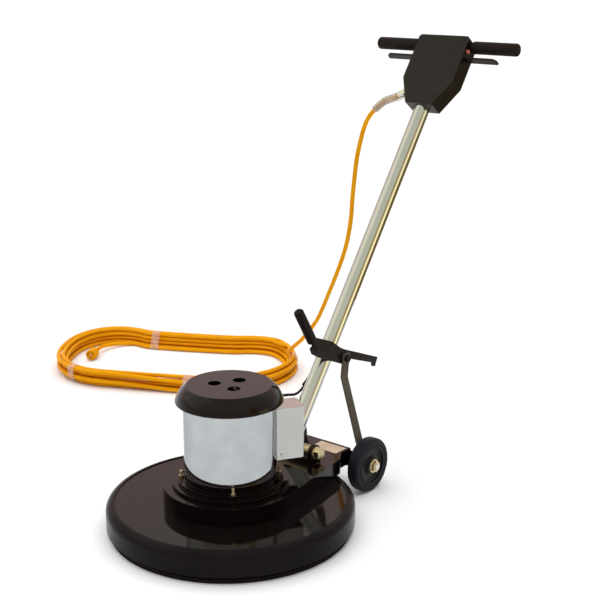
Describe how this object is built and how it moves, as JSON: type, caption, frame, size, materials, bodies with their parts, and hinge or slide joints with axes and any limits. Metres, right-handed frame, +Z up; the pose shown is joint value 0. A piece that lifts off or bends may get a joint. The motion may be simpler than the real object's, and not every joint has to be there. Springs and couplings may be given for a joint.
{
  "type": "high speed floor burnisher",
  "caption": "Floor burnisher: round deck with rubber rim, upright chrome motor with black cap, tilting tube handle with lever switch box, rear transport wheels and a tied yellow supply cord.",
  "frame": {"origin": "on the floor under the middle of the deck, at the middle of the pad's lower face", "axes": "+Z up, +Y back towards the operator, +X to the operator's left, where the lock lever's grip is"},
  "size_m": [1.4857, 1.255, 1.0107],
  "materials": {
    "deck": "gloss",
    "bumper": "satin",
    "casting": "gloss black enamel",
    "black_paint": "gloss",
    "chrome": "polished",
    "zinc": "yellow zinc plate",
    "bright_steel": "bright",
    "plate_metal": "satin",
    "motor_iron": "bare",
    "winding": "enamelled wire",
    "black_plastic": "satin",
    "driver_plastic": "matte",
    "pad": "fibre",
    "tyre": "matte",
    "grip_rubber": "matte",
    "cable_rubber": "matte",
    "button": "gloss",
    "cord_jacket": "satin",
    "tie_film": "clear film"
  },
  "bodies": {
    "chassis": {"deck_shell": "deck", "rim_bumper": "bumper", "frame_casting": "casting", "nameplate": "plate_metal", "end_bell": "casting", "motor_studs": "zinc", "motor_shell": "chrome", "stator_core": "motor_iron", "stator_windings": "winding", "lower_bearing": "bright_steel", "upper_bearing": "bright_steel", "bearing_plate": "plate_metal", "motor_cap": "black_paint", "cap_screws": "zinc", "capacitor_cover": "chrome", "start_capacitor": "black_plastic", "cover_screws": "bright_steel", "axle": "bright_steel", "axle_nuts": "zinc", "handle_bracket": "black_paint", "pivot_bolt": "zinc", "pivot_nut": "zinc", "motor_cable": "cable_rubber", "power_cord": "cord_jacket", "cord_hank": "cord_jacket", "hank_ties": "tie_film", "plug_body": "cord_jacket", "plug_blades": "zinc"},
    "drive": {"motor_shaft": "bright_steel", "rotor_core": "motor_iron", "cooling_fan": "black_plastic", "drive_hub": "plate_metal", "pad_driver": "driver_plastic", "burnishing_pad": "pad"},
    "wheel_left": {"tyre_left": "tyre", "hub_left": "black_plastic"},
    "wheel_right": {"tyre_right": "tyre", "hub_right": "black_plastic"},
    "handle": {"pivot_sleeve": "zinc", "handle_tube": "chrome", "handlebar": "black_paint", "grip_left": "grip_rubber", "grip_right": "grip_rubber", "switch_box": "black_paint", "box_cover": "black_paint", "box_screws": "bright_steel", "power_switch": "black_plastic", "cord_connector": "bright_steel", "relief_spring": "bright_steel", "cable_bush": "grip_rubber"},
    "hand_levers": {"switch_levers": "black_paint"},
    "lockout": {"lockout_button": "button"},
    "clamp": {"clamp_block": "black_paint", "strut_bolt": "zinc"},
    "lock": {"lock_lever": "black_paint", "lock_grip": "grip_rubber"},
    "struts": {"strut_left": "black_paint", "strut_right": "black_paint"}
  },
  "joints": [
    {"name": "pad_spin", "type": "hinge", "parent": "chassis", "child": "drive", "pos_m": [0, 0, 0.06], "axis": [0, 0, 1], "continuous": true},
    {"name": "left_wheel_spin", "type": "hinge", "parent": "chassis", "child": "wheel_left", "pos_m": [0.117, 0.338, 0.0635], "axis": [1, 0, 0], "continuous": true},
    {"name": "right_wheel_spin", "type": "hinge", "parent": "chassis", "child": "wheel_right", "pos_m": [-0.117, 0.338, 0.0635], "axis": [1, 0, 0], "continuous": true},
    {"name": "handle_tilt", "type": "hinge", "parent": "chassis", "child": "handle", "pos_m": [0, 0.201, 0.1245], "axis": [-1, 0, 0], "range_deg": [-20, 20], "deforming": ["power_cord", "motor_cable"]},
    {"name": "clamp_slide", "type": "slide", "parent": "handle", "child": "clamp", "axis": [0, 0.5793, 0.8151], "range_m": [-0.0555, 0.0555]},
    {"name": "strut_swing", "type": "hinge", "parent": "clamp", "child": "struts", "pos_m": [0, 0.36705, 0.29602], "axis": [-1, 0, 0], "range_deg": [-2.9, 2.9]},
    {"name": "lock_squeeze", "type": "hinge", "parent": "clamp", "child": "lock", "pos_m": [0, 0.36705, 0.29602], "axis": [-1, 0, 0], "range_deg": [0, 12], "stiffness_Nm_per_rad": 6, "springref_deg": -8.59},
    {"name": "switch_squeeze", "type": "hinge", "parent": "handle", "child": "hand_levers", "pos_m": [0, 0.78221, 0.95788], "axis": [1, 0, 0], "range_deg": [0, 20], "stiffness_Nm_per_rad": 1.2, "springref_deg": -11.46},
    {"name": "button_press", "type": "slide", "parent": "handle", "child": "lockout", "axis": [-1, 0, 0], "range_m": [0, 0.004], "stiffness_N_per_m": 600, "springref_m": -0.002}
  ],
  "couplings": [
    {"joint": "clamp_slide", "follows": "handle_tilt", "m_per_rad": 0.1583},
    {"joint": "strut_swing", "follows": "handle_tilt", "ratio": 0.1394}
  ]
}
